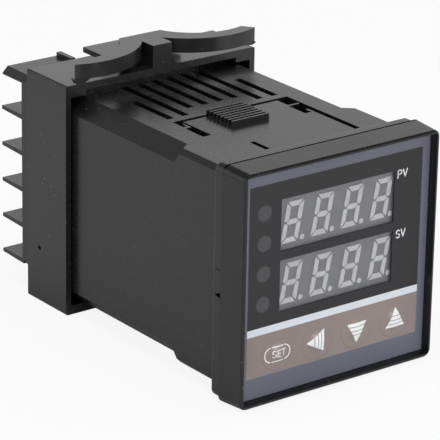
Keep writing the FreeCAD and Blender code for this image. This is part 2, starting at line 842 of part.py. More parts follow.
def make_terminal_block():
    body = new_body("terminal_body")
    half, low, high = case_half, dim("case_low"), dim("case_high")
    rear = dim("block_rear")
    plate = bevelled(half, low, high, "block_low_bevel", "block_top_bevel")
    pad(body, "XZ_Plane", "case_rear", rear, [plate])
    slack = 0.15
    nose = bevelled(inner_half - slack, inner_low + slack, inner_high - slack,
                    "inner_bevel", "inner_bevel")
    pad(body, "XZ_Plane", "block_nose", "case_rear", [nose])
    root, edge, inner = dim("fin_root"), dim("fin_edge"), dim("fin_inner")
    bottom = fin_rows[0]
    fin = [(rear - 0.5, bottom), ("fin_tip", bottom + 0.3),
           ("fin_tip", bottom + 0.3 + edge), (rear - 0.5, bottom + root)]
    left_fin = pad(body, "YZ_Plane", -case_half, -inner, [fin])
    pattern(body, left_fin, "Z_Axis", dim("fin_pitch") * 4, 5)
    roof_low = fin_rows[5]
    right_fin = pad(body, "YZ_Plane", inner, case_half, [fin])
    pattern(body, right_fin, "Z_Axis", dim("fin_pitch") * 4, 5)
    for side in (-1, 1):
        outline = roof_outline(side, roof_low)
        pad(body, "XZ_Plane", rear - 0.5, dim("fin_tip") - 0.3, [outline])
    spine = rectangle(-6.6, dim("fin_low"), 6.6, dim("case_high") - 1.2)
    pad(body, "XZ_Plane", rear - 0.5, "spine_rear", [spine])
    # a low rib along the inner end of each top fin
    ribs = [rectangle(-inner - 1.1, rear + 1.5, -inner, dim("fin_tip") - 0.6),
            rectangle(inner, rear + 1.5, inner + 1.1, dim("fin_tip") - 0.6)]
    pad(body, "XY_Plane", dim("case_high") - 0.3, dim("case_high") + 0.9, ribs)
    # a square well behind each screw and a slit for each contact blade
    wells, slits = [], []
    well = dim("screw_shank") / 2 + 0.2
    for side in (-1, 1):
        for row in screw_rows:
            centre = side * dim("screw_column")
            wells.append(rectangle(centre - well, row - well, centre + well, row + well))
            blade = side * dim("contact_plane")
            slits.append(rectangle(blade - 0.35, row - 1.6, blade + 0.35, row + 1.6))
    pocket(body, "XZ_Plane", "block_nose", dim("block_rear") + 0.2, wells)
    channels = []
    near, far = dim("side_board_plane") - 2.2, dim("side_board_plane") + 1.3
    for left, right in ((-far, -near), (near, far)):
        channels.append(rectangle(left, dim("board_low") - 0.6, right, dim("board_high") + 0.6))
    pocket(body, "XZ_Plane", "block_nose", 74.4, channels)
    pocket(body, "XZ_Plane", "block_nose", dim("block_rear") + 0.2, slits)
    return sub_part(body, "terminal_block")


def roof_outline(side, low):
    """The thick top barrier of one column, bevelled at the outer corner."""
    high, bevel = dim("case_high"), dim("block_top_bevel")
    outer, inner = side * case_half, side * dim("fin_inner")
    points = [(inner, low), (outer, low), (outer, high - bevel),
              (outer - side * bevel, high), (inner, high)]
    return points if side > 0 else points[::-1]


def make_contact(label, side, row):
    """A bent brass strip: a plate under the screw and a blade to the board."""
    rear = dim("block_rear")
    plate = box((-2.9, 2.9), (rear, rear + 0.6), (-2.9, 2.9))
    hole = barrel(rear - 1, rear + 2, (0, 0, 0), dim("screw_shank") + 0.2)
    blade_plane = side * (dim("contact_plane") - dim("screw_column"))
    blade = box((blade_plane - 0.25, blade_plane + 0.25), (70.2, rear + 0.3), (-1.5, 1.5))
    strip = fused([cut(plate, [hole]), blade])
    return sub_part(strip, label, (side * dim("screw_column"), 0, row))


def make_washers():
    """Square clamp washers, one under each screw head."""
    rear = dim("block_rear")
    plates = []
    for side in (-1, 1):
        for row in screw_rows:
            centre = side * dim("screw_column")
            plate = box((centre - 3.1, centre + 3.1), (rear + 0.6, rear + 1.3), (row - 3.1, row + 3.1))
            hole = barrel(rear, rear + 2, (centre, 0, row), dim("screw_shank") + 0.2)
            plates.append(cut(plate, [hole]))
    return sub_part(together(plates), "clamp_washers")


def make_screws():
    """Terminal screws with a round slotted head."""
    rear = dim("block_rear")
    seat, head_end = rear + 1.3, rear + 3.2
    screws = []
    for side in (-1, 1):
        for row in screw_rows:
            column = side * dim("screw_column")
            centre = (column, 0, row)
            head = rod("y", seat, head_end, centre, "screw_head")
            shank = barrel(rear - 6.5, seat, centre, "screw_shank")
            slot = box((column - 3, column + 3), (head_end - 0.9, head_end + 1), (row - 0.4, row + 0.4))
            screws.append(cut(fused([head, shank]), [slot]))
    return sub_part(together(screws), "terminal_screws")


# ------------------------------------------------------------- mounting bracket

def draw_wings(sketch):
    """Plan of the sprung wings: each side is bounded by two arcs."""
    waist, back = (12.5, 56.8), (12.5, 60.4)
    corners = [("post_half", "bracket_front"), ("post_half", "root_front"),
               ("wing_nose_half", "wing_nose"), ("wing_heel_half", "wing_heel"),
               ("root_half", "root_rear")]
    for flip in (1, -1):
        points = [(dim(u) * flip, dim(v)) for u, v in corners]
        places = [Vector(u.value, v.value, 0) for u, v in points]
        front_arc = Part.Arc(places[1], Vector(waist[0] * flip, waist[1], 0), places[2])
        rear_arc = Part.Arc(places[3], Vector(back[0] * flip, back[1], 0), places[4])
        pieces = [Part.LineSegment(places[0], places[1]), front_arc,
                  Part.LineSegment(places[2], places[3]), rear_arc]
        for piece in pieces:
            sketch.addGeometry(piece)
    half_post, half_root = dim("post_half").value, dim("root_half").value
    nose, rear = dim("bracket_front").value, dim("root_rear").value
    sketch.addGeometry(Part.LineSegment(Vector(-half_post, nose, 0), Vector(half_post, nose, 0)))
    sketch.addGeometry(Part.LineSegment(Vector(half_root, rear, 0), Vector(-half_root, rear, 0)))


def make_bracket():
    body = new_body("bracket_body")
    front, rear = dim("bracket_front"), dim("bracket_rear")
    half, inside = dim("bracket_width") / 2, dim("bracket_inside") / 2
    low, high = -dim("lift"), dim("bracket_high")
    pad(body, "XZ_Plane", front, rear, [rectangle(-half, low, half, high)])
    dress(body, "Fillet", 0.5, lambda e: e.BoundBox.YLength > 5)
    pocket(body, "XZ_Plane", front - 1, rear + 1,
           [rectangle(-inside, "bracket_floor", inside, "bracket_ceiling")])
    # the top wall is relieved so that it clears the latch pad and the block's ribs
    recess = dim("recess_half")
    pocket(body, "XZ_Plane", front - 1, rear + 1,
           [rectangle(-recess, "bracket_floor", recess, "recess_ceiling")])
    sketch = new_sketch(body, "XY_Plane", "wing_low")
    draw_wings(sketch)
    wings = body.newObject("PartDesign::Pad", "wing_pad")
    wings.Profile = sketch
    wings.setExpression("Length", (dim("wing_high") - dim("wing_low")).formula)
    doc.recompute()
    root, post = dim("root_half"), dim("post_half")
    pad(body, "XY_Plane", high - 0.3, dim("wing_low") + 0.2,
        [rectangle(-root, "root_front", root, "root_rear"),
         rectangle(-post, front, post, dim("root_front") - 0.01)])
    # feet under the wings' tips, the left one deeper
    nose, sole = dim("wing_nose_half"), dim("wing_low")
    for side, depth in ((-1, 1.35), (1, 0.5)):
        foot = [(side * nose, sole + 0.1), (side * (nose - 4.2), sole + 0.1),
                (side * (nose - 2.6), sole - depth * 0.6), (side * (nose - 1.2), sole - depth),
                (side * (nose - 0.5), sole - depth * 0.8), (side * nose, sole - depth * 0.2)]
        pad(body, "XZ_Plane", dim("wing_nose") - 0.4, dim("bracket_front") - 0.2,
            [foot if side < 0 else foot[::-1]])
    # release tab behind the wings
    tab_low = high + 1.1
    pad(body, "XY_Plane", tab_low, tab_low + dim("tab_thickness"),
        [rectangle(-10, dim("root_rear") - 1.5, 9.6, rear)])
    pocket(body, "YZ_Plane", -half - 1, -inside + 0.5, [("circle", (68.9, 11.6), 1.0)])
    return sub_part(body, "mounting_bracket")


# ------------------------------------------------------------------ the assembly

make_case()
make_latch()
make_bezel()
make_film()
for name, level in zip(("upper", "lower"), window_rows):
    make_pane(name + "_window", level)
    make_digits(name + "_digits", level)
    make_display(name + "_display", level)
for name, column in zip(("set", "shift", "down", "up"), key_columns):
    make_key(name + "_key", column)
    make_switch(name + "_switch", column)
for number, row in enumerate(lamp_rows, start=1):
    make_lamp("status_lamp_%d" % number, row)
make_front_board()
make_side_board("power_board", -1)
make_side_board("logic_board", 1)
make_transformer()
make_winding()
make_relay()
make_capacitors()
make_chips()
make_link_pins()
make_terminal_block()
number = 1
for side in (-1, 1):
    for row in reversed(screw_rows):
        make_contact("terminal_contact_%d" % number, side, row)
        number += 1
make_washers()
make_screws()
make_bracket()

doc.recompute()

for thing in doc.Objects:
    if "Invalid" in thing.State or "Error" in thing.State:
        raise RuntimeError("%s (%s) failed: %s" % (thing.Name, thing.Label, thing.State))
for thing in SUB_PARTS:
    if thing.Shape.isNull() or not thing.Shape.isValid():
        raise RuntimeError(thing.Label + " has no valid shape")

os.makedirs("parts", exist_ok=True)
for thing in SUB_PARTS:
    thing.Shape.exportStep("parts/%s.step" % thing.Label)
    bounds = thing.Shape.BoundBox
    print("%-22s solids %2d volume %9.2f  x %7.2f %7.2f  y %7.2f %7.2f  z %6.2f %6.2f" % (
        thing.Label, len(thing.Shape.Solids), thing.Shape.Volume, bounds.XMin, bounds.XMax,
        bounds.YMin, bounds.YMax, bounds.ZMin, bounds.ZMax))
print(len(SUB_PARTS), "parts")
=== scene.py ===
"""Panel-mount PID temperature controller: finishes, printed face, lamps and camera.

The front of the controller faces -Y, the terminals face +Y and +Z is up. Sizes are in
metres; MM turns the maker's millimetres into them.
"""

import math
import random

import bmesh
import bpy
from mathutils import Matrix, Vector


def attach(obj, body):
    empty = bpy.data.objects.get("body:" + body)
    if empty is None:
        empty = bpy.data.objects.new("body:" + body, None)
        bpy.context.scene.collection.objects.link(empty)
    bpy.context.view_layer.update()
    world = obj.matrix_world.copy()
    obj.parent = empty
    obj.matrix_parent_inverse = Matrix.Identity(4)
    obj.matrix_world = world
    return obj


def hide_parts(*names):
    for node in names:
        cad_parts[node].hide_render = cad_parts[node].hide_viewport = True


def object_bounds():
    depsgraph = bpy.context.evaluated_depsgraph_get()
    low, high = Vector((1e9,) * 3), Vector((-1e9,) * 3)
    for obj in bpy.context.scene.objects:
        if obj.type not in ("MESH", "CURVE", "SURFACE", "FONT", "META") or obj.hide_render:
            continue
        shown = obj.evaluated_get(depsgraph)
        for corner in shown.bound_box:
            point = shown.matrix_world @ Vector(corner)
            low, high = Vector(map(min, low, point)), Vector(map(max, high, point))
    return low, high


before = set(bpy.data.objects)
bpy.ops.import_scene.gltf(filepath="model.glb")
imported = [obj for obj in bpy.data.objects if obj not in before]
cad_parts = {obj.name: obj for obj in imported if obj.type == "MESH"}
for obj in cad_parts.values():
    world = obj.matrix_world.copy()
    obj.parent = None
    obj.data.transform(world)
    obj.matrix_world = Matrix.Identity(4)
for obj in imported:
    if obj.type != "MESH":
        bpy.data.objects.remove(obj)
cad_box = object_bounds()
random.seed(48)
MM = 0.001


# ------------------------------------------------- sizes shared with the solids

HALF_LENGTH = 42.55
LIFT = 0.35
FILM_FRONT = 1.6
DISPLAY_FACE = 2.25
PANEL_LEFT, PANEL_RIGHT, PANEL_TOP = -21.55, 21.0, 44.6
STRIPE_TOP, BAND_TOP, BAND_LOW = 15.6, 14.1, 5.4
KEY_COLUMNS = {"set": -14.05, "shift": -4.25, "down": 5.55, "up": 15.35}
KEY_HEIGHT, KEY_RADIUS, KEY_CROWN, DOME_RADIUS = 9.4, 3.73, 0.44, 2.5
LAMP_COLUMN, LAMP_TOP, LAMP_PITCH, LAMP_RADIUS = -17.9, 38.95, 6.2, 1.62
ROW_NAME_HEIGHT, ROW_NAME_STROKE = 1.55, 0.24
# SEAM and the SEAM_ numbers with it place the painted shadow line of the gap behind the bezel and keep it to
# the top faces.
SEAM, SEAM_HALF, SEAM_FROM = 6.4, 0.26, 47.6
KEY_STEM, KEY_TIP, FILM_BACK = 1.5, 6.3, 0.3
INK_EDGE, INK_PROUD, FINEST_EDGE = 0.02, 0.012, 0.35
SEAM_FADE = 0.2


# ------------------------------------------------------------------ shader maths

class Socket:
    """One output of a shader node, so that node maths reads as plain arithmetic."""

    def __init__(self, finish, link):
        self.finish, self.link = finish, link

    def maths(self, operation, first, second=None, clamp=False):
        inputs = {0: first} if second is None else {0: first, 1: second}
        settings = {"operation": operation, "use_clamp": clamp}
        return self.finish.node("ShaderNodeMath", settings, inputs)

    def __add__(self, other):
        return self.maths("ADD", self, other)

    def __radd__(self, other):
        return self.maths("ADD", other, self)

    def __sub__(self, other):
        return self.maths("SUBTRACT", self, other)

    def __rsub__(self, other):
        return self.maths("SUBTRACT", other, self)

    def __mul__(self, other):
        return self.maths("MULTIPLY", self, other)

    def __rmul__(self, other):
        return self.maths("MULTIPLY", other, self)

    def __truediv__(self, other):
        return self.maths("DIVIDE", self, other)

    def __lt__(self, other):
        return self.maths("LESS_THAN", self, other)

    def __abs__(self):
        return self.maths("ABSOLUTE", self)

    def highest(self, other):
        return self.maths("MAXIMUM", self, other)

    def ramp(self, low, high):
        """Rises evenly from 0 at low to 1 at high."""
        return self.maths("MULTIPLY", self - low, 1.0 / (high - low), clamp=True)


class Finish:
    """A node material under construction."""

    def __init__(self, name):
        self.material = bpy.data.materials.new(name)
        self.material.use_nodes = True
        self.tree = self.material.node_tree
        self.tree.nodes.clear()
        self.coordinates = self.node("ShaderNodeTexCoord", {}, {}, "Object")
        self.x, self.y, self.z = (
            self.node("ShaderNodeSeparateXYZ", {}, {"Vector": self.coordinates}, axis) for axis in "XYZ")

    def node(self, kind, settings, inputs, output=0):
        """Adds a node, sets it up, feeds its sockets and returns one of its outputs."""
        made = self.tree.nodes.new(kind)
        for name, value in settings.items():
            setattr(made, name, value)
        for name, value in inputs.items():
            if isinstance(value, Socket):
                self.tree.links.new(value.link, made.inputs[name])
            else:
                made.inputs[name].default_value = value
        return Socket(self, made.outputs[output])

    def noise(self, scale, detail, roughness=0.55, vector=None):
        inputs = {"Vector": vector or self.coordinates, "Scale": scale,
                  "Detail": detail, "Roughness": roughness}
        return self.node("ShaderNodeTexNoise", {}, inputs, "Fac")

    def stretched(self, amounts):
        """Object coordinates drawn out along some axes, for moulding and brushing marks."""
        return self.node("ShaderNodeVectorMath", {"operation": "MULTIPLY"},
                         {0: self.coordinates, 1: amounts})

    def mix(self, amount, first, second):
        """Colour first where amount is 0, second where it is 1."""
        return self.node("ShaderNodeMix", {"data_type": "RGBA"},
                         {0: amount, 6: first, 7: second}, 2)

    def bump(self, height, depth, strength):
        """A surface normal raised by height, depth millimetres at most."""
        inputs = {"Height": height, "Distance": depth * MM, "Strength": strength}
        return self.node("ShaderNodeBump", {}, inputs)

    def principled(self, **inputs):
        named = {name.replace("_", " "): value for name, value in inputs.items()}
        return self.node("ShaderNodeBsdfPrincipled", {}, named)

    def done(self, surface):
        output = self.tree.nodes.new("ShaderNodeOutputMaterial")
        self.tree.links.new(surface.link, output.inputs["Surface"])
        return self.material


def colour(red, green, blue):
    """A colour written as it looks, 0 to 255, turned into light amounts."""
    def linear(value):
        value /= 255
        return value / 12.92 if value <= 0.04045 else ((value + 0.055) / 1.055) ** 2.4
    return (linear(red), linear(green), linear(blue), 1.0)


def shade(tone, amount):
    """The same colour, lighter or darker."""
    return tuple(min(1.0, part * amount) for part in tone[:3]) + (1.0,)


# ---------------------------------------------------------------------- finishes

DUST = colour(150, 148, 144)


def moulded(name, tone, grain=0.008, roughness=0.42, spread=0.14, shift=0.0, seam=None):
    """Moulded black plastic: spark-eroded grain, faint flow, rubbed patches and dust, and, with a seam
    given, a painted shadow line along it on the upper faces.
    """
    finish = Finish(name)
    clouds = finish.noise(55 + shift, 4)
    flow = finish.noise(26 + shift, 5, 0.6, finish.stretched((3.0, 0.8, 3.0)))
    fine = finish.noise(5200, 2, 0.7)
    coarse = finish.noise(1500, 3, 0.6)
    rubbed = finish.noise(140 + shift, 8, 0.75, finish.stretched((1.0, 5.0, 1.2))).ramp(0.60, 0.76)
    dust = finish.noise(2100 + shift, 1, 0.3).ramp(0.775, 0.80)
    amount = (clouds * 0.5 + flow * 0.5).ramp(0.32, 0.68)
    base = finish.mix(amount, shade(tone, 1 - spread), shade(tone, 1 + spread))
    base = finish.mix(rubbed * 0.25, base, shade(tone, 1.9))
    base = finish.mix(dust * 0.5, base, DUST)
    rough = roughness + (coarse - 0.5) * 0.10 + (clouds - 0.5) * 0.08 - rubbed * 0.05
    normal = finish.bump(fine * 0.4 + coarse * 0.6, grain, 0.12)
    surface = finish.principled(Base_Color=base, Roughness=rough, Normal=normal)
    # Painted shadow: a thin matte black line on the upper faces, where the open gap at the seam lies in
    # shade.
    if seam is not None:
        line = 1 - abs(finish.y / MM - (seam - HALF_LENGTH)).ramp(SEAM_HALF * 0.7, SEAM_HALF)
        line = line * (finish.z / MM - LIFT).ramp(SEAM_FROM, SEAM_FROM + SEAM_FADE)
        shadow = finish.node("ShaderNodeBsdfDiffuse", {}, {"Color": colour(5, 5, 5)})
        surface = finish.node("ShaderNodeMixShader", {}, {0: line, 1: surface, 2: shadow})
    return finish.done(surface)


def printed_face(name, panel_tint):
    """The printed polyester film: border, dark panel, white stripe and key band."""
    finish = Finish(name)
    border = colour(92, 95, 108)
    panel = colour(*panel_tint)
    stripe = colour(208, 213, 221)
    band = colour(133, 121, 118)
    across = finish.x / MM
    height = finish.z / MM - LIFT
    soft = INK_EDGE
    inside = (across - PANEL_LEFT).ramp(-soft, soft) * (PANEL_RIGHT - across).ramp(-soft, soft)
    dark = inside * (height - STRIPE_TOP).ramp(-soft, soft) * (PANEL_TOP - height).ramp(-soft, soft)
    light = inside * (height - BAND_TOP).ramp(-soft, soft) * (STRIPE_TOP - height).ramp(-soft, soft)
    keys = inside * (height - BAND_LOW).ramp(-soft, soft) * (BAND_TOP - height).ramp(-soft, soft)
    cloud = finish.noise(70, 4)
    grain = finish.noise(3800, 2, 0.6)
    border_tone = finish.mix(cloud, shade(border, 0.9), shade(border, 1.1))
    panel_tone = finish.mix(cloud, shade(panel, 0.9), shade(panel, 1.1))
    band_tone = finish.mix(cloud.ramp(0.35, 0.65), shade(band, 0.95), shade(band, 1.06))
    tone = finish.mix(dark, border_tone, panel_tone)
    tone = finish.mix(light, tone, finish.mix(cloud, shade(stripe, 0.96), stripe))
    tone = finish.mix(keys, tone, band_tone)
    rough = 0.30 + (grain - 0.5) * 0.08 + cloud * 0.05
    normal = finish.bump(grain, 0.004, 0.5)
    return finish.done(finish.principled(Base_Color=tone, Roughness=rough, Normal=normal,
                                         Specular_IOR_Level=0.4))


def printed_ink(name, tone, patchy=0.08, shine=0.5):
    """Screen-printed ink: nearly flat, slightly uneven at the mesh's scale. In matte black it also gives the
    painted shadow in the hook gaps.
    """
    finish = Finish(name)
    cloud = finish.noise(900, 3)
    mesh = finish.noise(9000, 1)
    base = finish.mix(cloud, shade(tone, 1 - patchy), shade(tone, 1 + patchy))
    normal = finish.bump(mesh, 0.002, 0.4)
    return finish.done(finish.principled(Base_Color=base, Roughness=0.45 + mesh * 0.1, Normal=normal,
                                         Specular_IOR_Level=shine))


def smoked_window(name):
    """The clear window of the film, with a grey tint and a fine matt back."""
    finish = Finish(name)
    cloud = finish.noise(120, 4)
    haze = finish.noise(2600, 2)
    base = finish.mix(cloud, colour(126, 127, 131), colour(140, 141, 146))
    surface = finish.principled(Base_Color=base, Roughness=0.3 + haze * 0.12, Alpha=0.10 + cloud * 0.05,
                                Normal=finish.bump(haze, 0.003, 0.4))
    return finish.done(surface)


def display_face(name):
    """The grey front of a display block, darker down its sides."""
    finish = Finish(name)
    cloud = finish.noise(220, 4)
    grain = finish.noise(3000, 2)
    depth = ((finish.y / MM - (DISPLAY_FACE - HALF_LENGTH)) - 0.3).ramp(0.0, 0.4)
    front = finish.mix(cloud, colour(112, 113, 117), colour(124, 125, 129))
    base = finish.mix(depth, front, colour(34, 34, 36))
    return finish.done(finish.principled(Base_Color=base, Roughness=0.5 + grain * 0.15,
                                         Normal=finish.bump(grain, 0.004, 0.4)))


def segment_plastic(name):
    """Unlit milky light bars."""
    finish = Finish(name)
    cloud = finish.noise(700, 4)
    fine = finish.noise(4200, 2)
    base = finish.mix(cloud.ramp(0.3, 0.7), colour(198, 198, 200), colour(214, 214, 216))
    return finish.done(finish.principled(Base_Color=base, Roughness=0.4 + fine * 0.15,
                                         Normal=finish.bump(fine, 0.003, 0.4)))


def lamp_lens(name):
    """Unlit, smoky status lens."""
    finish = Finish(name)
    cloud = finish.noise(500, 3)
    fine = finish.noise(4000, 2)
    base = finish.mix(cloud, colour(92, 92, 95), colour(106, 106, 110))
    return finish.done(finish.principled(Base_Color=base, Roughness=0.3 + fine * 0.15,
                                         Normal=finish.bump(fine, 0.003, 0.4)))


def laminate(name):
    """Green solder mask over glass laminate, with copper runs and tinned dots under it."""
    finish = Finish(name)
    across = finish.y + finish.x * 0.7
    sheet = finish.node("ShaderNodeCombineXYZ", {}, {"X": across, "Y": finish.z})
    runs = finish.node("ShaderNodeTexBrick", {}, {"Vector": sheet, "Scale": 105.0, "Mortar Size": 0.05,
                                                  "Mortar Smooth": 0.1, "Brick Width": 0.9}, "Fac")
    branches = finish.node("ShaderNodeTexBrick", {"offset": 0.3}, {
        "Vector": sheet, "Scale": 260.0, "Mortar Size": 0.07, "Brick Width": 1.6}, "Fac")
    cloud = finish.noise(160, 4)
    broken = finish.noise(95, 2).ramp(0.47, 0.52)
    copper = (runs * broken).highest(branches * (1 - broken))
    nearest = finish.node("ShaderNodeTexVoronoi", {}, {"Vector": sheet, "Scale": 210.0}, "Distance")
    dots = nearest < 0.09
    weave = finish.noise(5200, 1)
    mask_green = finish.mix(cloud, colour(16, 66, 38), colour(24, 82, 48))
    base = finish.mix(copper, mask_green, colour(52, 122, 72))
    base = finish.mix(dots, base, colour(176, 174, 166))
    return finish.done(finish.principled(Base_Color=base, Roughness=0.32 + weave * 0.15, Metallic=dots * 0.8,
                                         Normal=finish.bump(copper + weave * 0.2, 0.03, 0.5)))


def sheet_metal(name, tone, roughness, stretch, metallic=1.0, tarnish=0.3):
    """Stamped or plated metal with rolling marks and a little tarnish."""
    finish = Finish(name)
    brushed = finish.noise(900, 4, 0.6, finish.stretched(stretch))
    cloud = finish.noise(240, 5)
    fine = finish.noise(6000, 2)
    base = finish.mix(cloud.ramp(0.4, 0.75) * tarnish, tone, shade(tone, 0.55))
    rough = roughness + (brushed - 0.5) * 0.25 + cloud * 0.08
    normal = finish.bump(brushed * 0.7 + fine * 0.3, 0.006, 0.5)
    return finish.done(finish.principled(Base_Color=base, Roughness=rough, Metallic=metallic, Normal=normal))


def laminations(name):
    """The stacked edges of a transformer's steel sheets."""
    finish = Finish(name)
    sheets = finish.node("ShaderNodeTexWave", {"bands_direction": "X"},
                         {"Vector": finish.coordinates, "Scale": 620.0, "Distortion": 0.4,
                          "Detail": 1.0}, "Fac")
    cloud = finish.noise(300, 4)
    base = finish.mix(sheets, colour(60, 60, 64), colour(128, 128, 132))
    base = finish.mix(cloud.ramp(0.5, 0.8) * 0.5, base, colour(104, 82, 64))
    return finish.done(finish.principled(Base_Color=base, Roughness=0.42 + cloud * 0.2, Metallic=0.8,
                                         Normal=finish.bump(sheets, 0.03, 0.6)))


def winding_tape(name):
    """Yellow polyester tape wound over the coil."""
    finish = Finish(name)
    wraps = finish.node("ShaderNodeTexWave", {"bands_direction": "Z"},
                        {"Vector": finish.coordinates, "Scale": 60.0, "Distortion": 1.5}, "Fac")
    cloud = finish.noise(260, 4)
    base = finish.mix(cloud, colour(196, 152, 40), colour(222, 182, 66))
    return finish.done(finish.principled(Base_Color=base, Roughness=0.3 + cloud * 0.15,
                                         Normal=finish.bump(wraps, 0.06, 0.5)))


def sleeved_can(name):
    """Capacitor cans: a dark sleeve with a pale stripe and a bare scored top."""
    finish = Finish(name)
    cloud = finish.noise(300, 4)
    fine = finish.noise(3500, 2)
    base = finish.mix(cloud, colour(26, 30, 48), colour(36, 42, 64))
    bare = (finish.x / MM).ramp(-2.2, -1.6)
    base = finish.mix(bare, base, colour(176, 178, 182))
    return finish.done(finish.principled(Base_Color=base, Roughness=0.34 + fine * 0.14,
                                         Metallic=bare * 0.9, Normal=finish.bump(fine, 0.004, 0.4)))


def place(x, y, z):
    """From the front face's millimetres (y back from its edge) to the shared frame."""
    return Vector((x * MM, (y - HALF_LENGTH) * MM, (z + LIFT) * MM))


FINISHES = {
    "housing": moulded("housing_plastic", colour(26, 26, 27), 0.006, 0.27, seam=SEAM),
    "bezel": moulded("bezel_plastic", colour(22, 22, 24), 0.004, 0.25, 0.12, 9.0, SEAM),
    "bracket": moulded("bracket_plastic", colour(34, 34, 35), 0.005, 0.23, 0.14, 17.0),
    "film": printed_face("printed_film", (31, 31, 34)),
    "window": smoked_window("smoked_window"),
    "display": display_face("display_grey"),
    "segments": segment_plastic("segment_bars"),
    "switch": moulded("switch_plastic", colour(26, 26, 28), 0.006, 0.45),
    "lamp": lamp_lens("lamp_lens"),
    "board": laminate("board_laminate"),
    "core": laminations("core_laminations"),
    "winding": winding_tape("winding_tape"),
    "relay": moulded("relay_plastic", colour(30, 58, 108), 0.004, 0.3, 0.08),
    "cans": sleeved_can("capacitor_sleeve"),
    "chips": moulded("chip_plastic", colour(28, 28, 30), 0.005, 0.5),
    "link": moulded("link_plastic", colour(34, 34, 36), 0.006, 0.45),
    "brass": sheet_metal("brass_strip", (0.62, 0.45, 0.20, 1), 0.32, (1.0, 1.0, 8.0)),
    "zinc": sheet_metal("zinc_plate", (0.66, 0.66, 0.65, 1), 0.28, (1.0, 6.0, 1.0), tarnish=0.15),
    "solder": sheet_metal("solder", (0.60, 0.60, 0.59, 1), 0.36, (1.0, 1.0, 1.0), tarnish=0.25),
    # Painted shadow: flat near-black with no shine, for the shade inside the gaps round the latch hooks.
    "gap": printed_ink("gap_shadow", colour(6, 6, 6), shine=0.0),
    "ink": printed_ink("white_ink", colour(228, 230, 232)),
    "disc_ink": printed_ink("disc_ink", colour(55, 55, 58)),
}

NODE_FINISH = {
    "case": "housing", "bracket_latch": "housing", "terminal_block": "housing",
    "bezel": "bezel", "face_film": "film", "upper_window": "window", "lower_window": "window",
    "upper_digits": "segments", "lower_digits": "segments",
    "upper_display": "display", "lower_display": "display",
    "front_board": "board", "power_board": "board", "logic_board": "board",
    "transformer_core": "core", "transformer_winding": "winding", "output_relay": "relay",
    "capacitors": "cans", "logic_chips": "chips", "board_link": "link",
    "clamp_washers": "zinc", "terminal_screws": "zinc", "mounting_bracket": "bracket",
}
for key in KEY_COLUMNS:
    NODE_FINISH[key + "_key"] = "film"
    NODE_FINISH[key + "_switch"] = "switch"
for number in range(1, 5):
    NODE_FINISH["status_lamp_%d" % number] = "lamp"
for number in range(1, 11):
    NODE_FINISH["terminal_contact_%d" % number] = "brass"

for node, finish_name in NODE_FINISH.items():
    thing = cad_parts[node]
    for slot in thing.material_slots:
        slot.material = FINISHES[finish_name]
    if not thing.material_slots:
        thing.data.materials.append(FINISHES[finish_name])


# ------------------------------------------------------------------ printed marks

def dome_rise(distance):
    """How far a key dome stands forward of the film at a distance from its centre."""
    part = min(distance / DOME_RADIUS, 1.0)
    return KEY_CROWN * (1 - part * part) ** 2


def surface_depth(x, z):
    """Y of the printed surface, with the key domes."""
    rise = 0.0
    for column in KEY_COLUMNS.values():
        rise = max(rise, dome_rise(math.hypot(x - column, z - KEY_HEIGHT)))
    return FILM_FRONT - rise - INK_PROUD


def finished_piece(name, mesh, body, finish_name):
    """Turns a built mesh into a piece that rides on a body, with its finish."""
    data = bpy.data.meshes.new(name)
    mesh.to_mesh(data)
    mesh.free()
    data.materials.append(FINISHES[finish_name])
    thing = bpy.data.objects.new(name, data)
    bpy.context.collection.objects.link(thing)
    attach(thing, body)
    return thing


def lathe(mesh, profile, centre, axis="y", sides=64):
    """Turns (radius, distance) points about a line along an axis, through centre in the other two."""
    def spot(radius, along, angle):
        first, second = centre[0] + radius * math.cos(angle), centre[1] + radius * math.sin(angle)
        if axis == "x":
            return place(along, first, second)
        return place(first, along, second) if axis == "y" else place(first, second, along)

    rings = []
    for radius, along in profile:
        count = sides if radius > 0 else 1
        turns = [math.tau * i / count for i in range(count)]
        rings.append([mesh.verts.new(spot(radius, along, angle)) for angle in turns])
    made = []
    for near, far in zip(rings, rings[1:]):
        for i in range(sides):
            corners = [near[i % len(near)], near[(i + 1) % len(near)],
                       far[(i + 1) % len(far)], far[i % len(far)]]
            made.append(mesh.faces.new(list(dict.fromkeys(corners))))
    bmesh.ops.recalc_face_normals(mesh, faces=made)
    for face in made:
        face.smooth = True


def eased_block(mesh, low, high, edge=0.1):
    """A box with eased edges between two corners."""
    corners = [mesh.verts.new(place(x, y, z)) for x in (low[0], high[0]) for y in (low[1], high[1])
               for z in (low[2], high[2])]
    sides = ((0, 1, 3, 2), (4, 6, 7, 5), (0, 4, 5, 1), (2, 3, 7, 6), (0, 2, 6, 4), (1, 5, 7, 3))
    made = [mesh.faces.new([corners[i] for i in side]) for side in sides]
    bmesh.ops.recalc_face_normals(mesh, faces=made)
    edges = list({edge_line for face in made for edge_line in face.edges})
    bmesh.ops.bevel(mesh, geom=edges, offset=edge * MM, segments=2, affect="EDGES")


def key_dome(key, column):
    """A snap dome pressed up in the film, with the stem that meets the switch under it."""
    mesh = bmesh.new()
    steps = 28
    back = FILM_FRONT + FILM_BACK
    profile = []
    for i in range(steps + 1):
        radius = KEY_RADIUS * i / steps
        profile.append((radius, FILM_FRONT - dome_rise(radius)))
    profile += [(KEY_RADIUS, back), (KEY_STEM, back), (KEY_STEM, KEY_TIP), (0.0, KEY_TIP)]
    lathe(mesh, profile, (column, KEY_HEIGHT))
    dome = finished_piece(key + "_dome", mesh, key + "_button", "film")
    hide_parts(key + "_key")


